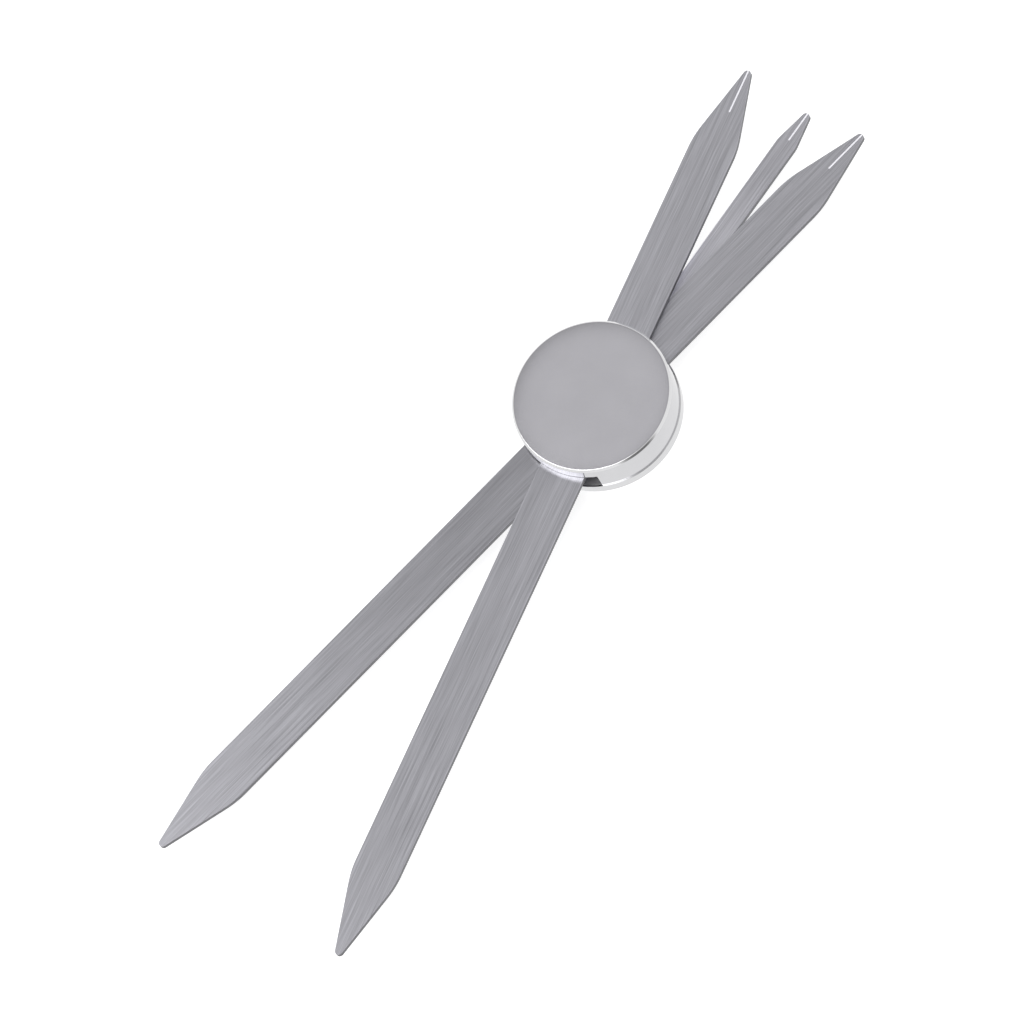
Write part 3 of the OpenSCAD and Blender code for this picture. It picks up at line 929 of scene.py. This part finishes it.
class CALIPER_OT_lines(bpy.types.Operator):
    """Fill the index lines at the three tips with white"""
    bl_idname = "caliper.lines"
    bl_label = "Index lines"

    def execute(self, context):
        bars = context.scene.caliper_bars
        enamel = line_enamel("White line fill", context.scene.caliper_finishes.line_fill)
        places = (
            ("leg_1", "leg_1", bars.leg_1_angle),
            ("leg_2", "leg_2", bars.leg_2_angle),
            ("pointer", "hub", 0),
        )
        for node, body, turn in places:
            reach, tip, span = line_sizes(bars, node)
            top = levels(node)[1]
            setback = bars.edge_break
            outline = line_outline(bars.line_width - 2 * bars.line_fit, reach - setback, tip,
                                   span - setback - bars.line_fit)
            fill = prism(node + "_line", turned(outline, turn), top - bars.line_depth + bars.line_fit,
                         top - bars.line_sink)
            dress(fill, enamel)
            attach(fill, body)
        return {"FINISHED"}


# Inner works


class CALIPER_OT_gears(bpy.types.Operator):
    """Finish the brass gear train"""
    bl_idname = "caliper.gears"
    bl_label = "Gears"

    def execute(self, context):
        finishes = context.scene.caliper_finishes
        brass = cut_metal("Cut gear brass", finishes.brass, roughness=(0.24, 0.42))
        for node in ("sun_gear", "ring_gear", "planet_gear_1", "planet_gear_2", "planet_gear_3"):
            dress(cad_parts[node], brass)
        return {"FINISHED"}


class CALIPER_OT_pivot(bpy.types.Operator):
    """Finish the pin, posts, dowels, rivets, pillars, shims and spring"""
    bl_idname = "caliper.pivot"
    bl_label = "Pivot and fasteners"

    def execute(self, context):
        finishes = context.scene.caliper_finishes
        bronze = cut_metal("Rolled shim bronze", finishes.bronze, roughness=(0.3, 0.5))
        spring = cut_metal("Tempered spring steel", finishes.spring_steel, roughness=(0.25, 0.42))
        for node in ("pivot_pin", "pointer_dowels", "planet_posts", "sun_rivets", "ring_pillars"):
            dress(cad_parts[node], pin_finish(context))
        for node in ("lower_shim", "upper_shim", "friction_washer"):
            dress(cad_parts[node], bronze)
        dress(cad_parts["cone_spring"], spring)
        return {"FINISHED"}


class CALIPER_PT_panel(bpy.types.Panel):
    """Lists the steps that build the caliper"""
    bl_idname = "CALIPER_PT_panel"
    bl_label = "Golden ratio caliper"
    bl_space_type = "VIEW_3D"
    bl_region_type = "UI"
    bl_category = "Caliper"

    def draw(self, context):
        for step in STEPS:
            self.layout.operator(step.bl_idname)


STEPS = (
    CALIPER_OT_stage,
    CALIPER_OT_case,
    CALIPER_OT_base,
    CALIPER_OT_bars,
    CALIPER_OT_lines,
    CALIPER_OT_gears,
    CALIPER_OT_pivot,
)
GROUPS = {
    "caliper_bars": CaliperBars,
    "caliper_hub": CaliperHub,
    "caliper_finishes": CaliperFinishes,
    "caliper_stage": CaliperStage,
}


def register():
    for part in (*GROUPS.values(), *STEPS, CALIPER_PT_panel):
        bpy.utils.register_class(part)
    for name, group in GROUPS.items():
        setattr(bpy.types.Scene, name, PointerProperty(type=group))


def unregister():
    for name in GROUPS:
        delattr(bpy.types.Scene, name)
    for part in reversed((*GROUPS.values(), *STEPS, CALIPER_PT_panel)):
        bpy.utils.unregister_class(part)


def main():
    register()
    bpy.ops.caliper.stage()
    bpy.ops.caliper.case()
    bpy.ops.caliper.base()
    bpy.ops.caliper.bars()
    bpy.ops.caliper.lines()
    bpy.ops.caliper.gears()
    bpy.ops.caliper.pivot()


if __name__ == "__main__":
    main()
